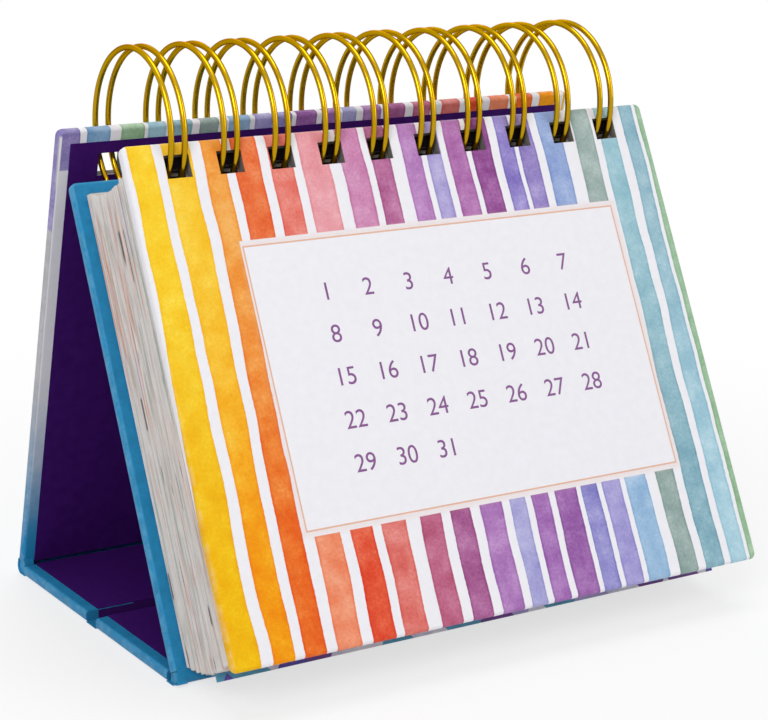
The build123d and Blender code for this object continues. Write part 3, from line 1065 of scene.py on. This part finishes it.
class CALENDAR_OT_stage(bpy.types.Operator):
    """Sets the pale floor, soft lamps and the camera"""

    bl_idname = "calendar.set_stage"
    bl_label = "Set the stage"

    # Name, place, size in metres, power in watts.
    lamps = (
        ("key", (-0.75, -0.65, 0.75), 0.6, 6.4),
        ("fill", (0.8, -0.8, 0.5), 0.7, 3.4),
        ("top", (0.0, 0.1, 1.1), 0.6, 4.0),
        ("back", (0.35, 0.95, 0.6), 0.7, 3.0),
    )
    lamp_aim = Vector((0, 0, 0.06))
    ambient = 0.3
    floor_half = 3.0

    def execute(self, context):
        settings = context.scene.calendar_stage
        context.scene.view_settings.view_transform = "Standard"
        self.floor(settings)
        self.world(context.scene)
        for lamp in self.lamps:
            self.lamp(*lamp)
        self.camera(context.scene, settings)
        return {"FINISHED"}

    def floor(self, settings):
        mesh = bpy.data.meshes.new("floor")
        half = self.floor_half
        corners = [(-half, -half, 0), (half, -half, 0), (half, half, 0), (-half, half, 0)]
        mesh.from_pydata(corners, [], [(0, 1, 2, 3)])
        floor = bpy.data.objects.new("floor", mesh)
        bpy.context.scene.collection.objects.link(floor)
        material, graph, shader = new_material("Pale floor", 0.9)
        place = graph.add("ShaderNodeTexCoord").outputs["Object"]
        pale = tuple(settings.floor)
        cloud = graph.ramp(graph.noise(place, 2.0), [(0.3, shade(pale, 0.99)), (0.7, pale)])
        graph.feed(shader.inputs["Base Color"], cloud)
        glow = graph.add("ShaderNodeEmission")
        blend = graph.add("ShaderNodeMixShader")
        length = graph.add("ShaderNodeVectorMath", operation="LENGTH")
        graph.feed(length.inputs[0], place)
        white = graph.fade(length.outputs["Value"], 0.1, 0.28, 0.68, 1.0)
        graph.feed(blend.inputs[0], graph.times(seen_by_eye(graph), white))
        graph.feed(blend.inputs[1], shader.outputs[0])
        graph.feed(blend.inputs[2], glow.outputs[0])
        output = material.node_tree.nodes["Material Output"]
        graph.feed(output.inputs["Surface"], blend.outputs[0])
        mesh.materials.append(material)

    def world(self, scene):
        world = bpy.data.worlds.new("Studio")
        world.use_nodes = True
        scene.world = world
        graph = Graph(world.node_tree)
        background = world.node_tree.nodes["Background"]
        background.inputs["Color"].default_value = (1, 1, 1, 1)
        graph.feed(background.inputs["Strength"], graph.most(seen_by_eye(graph), self.ambient))

    def lamp(self, name, place, size, power):
        light = bpy.data.lights.new(name, "AREA")
        light.size = size
        light.energy = power
        lamp = bpy.data.objects.new(name, light)
        lamp.location = place
        aim = self.lamp_aim - Vector(place)
        lamp.rotation_euler = aim.to_track_quat("-Z", "Y").to_euler()
        bpy.context.scene.collection.objects.link(lamp)

    def camera(self, scene, settings):
        yaw, pitch, roll = settings.camera_turn
        ahead = Vector(
            (math.sin(yaw) * math.cos(pitch), math.cos(yaw) * math.cos(pitch), math.sin(pitch))
        )
        right = Vector((math.cos(yaw), -math.sin(yaw), 0))
        up = right.cross(ahead)
        side = right * math.cos(roll) + up * math.sin(roll)
        rise = up * math.cos(roll) - right * math.sin(roll)
        data = bpy.data.cameras.new("camera")
        data.sensor_width = 36
        data.lens = settings.lens
        data.shift_x, data.shift_y = settings.shift
        camera = bpy.data.objects.new("camera", data)
        turn = Matrix((side, rise, -ahead)).transposed().to_4x4()
        camera.matrix_world = Matrix.Translation(Vector(settings.camera_place)) @ turn
        scene.collection.objects.link(camera)
        scene.camera = camera


class CALENDAR_PT_sidebar(bpy.types.Panel):
    """Lists the calendar's settings and steps"""

    bl_idname = "CALENDAR_PT_sidebar"
    bl_label = "Flip Day Calendar"
    bl_space_type = "VIEW_3D"
    bl_region_type = "UI"
    bl_category = "Calendar"

    def draw(self, context):
        for title, settings in (
            ("Paper", context.scene.calendar_paper),
            ("Wire", context.scene.calendar_wire),
            ("Stage", context.scene.calendar_stage),
        ):
            box = self.layout.box()
            box.label(text=title)
            for name in settings.__annotations__:
                box.prop(settings, name)
        for step in OPERATORS:
            self.layout.operator(step.bl_idname)


SETTINGS = {
    "calendar_paper": PaperSettings,
    "calendar_wire": WireSettings,
    "calendar_stage": StageSettings,
}
OPERATORS = (
    CALENDAR_OT_case,
    CALENDAR_OT_cover,
    CALENDAR_OT_leaves,
    CALENDAR_OT_wire,
    CALENDAR_OT_stage,
)


def register():
    for group in (*SETTINGS.values(), *OPERATORS, CALENDAR_PT_sidebar):
        bpy.utils.register_class(group)
    for name, group in SETTINGS.items():
        setattr(bpy.types.Scene, name, bpy.props.PointerProperty(type=group))


def unregister():
    for name in SETTINGS:
        delattr(bpy.types.Scene, name)
    for group in (CALENDAR_PT_sidebar, *reversed(OPERATORS), *reversed(SETTINGS.values())):
        bpy.utils.unregister_class(group)


def main():
    register()
    sheet_place_group()
    paper_grain_group()
    rubbed_edge_group()
    painted_stripes_group()
    bpy.ops.calendar.dress_case()
    bpy.ops.calendar.dress_cover()
    bpy.ops.calendar.lay_leaves()
    bpy.ops.calendar.bend_wire()
    bpy.ops.calendar.set_stage()


if __name__ == "__main__":
    main()
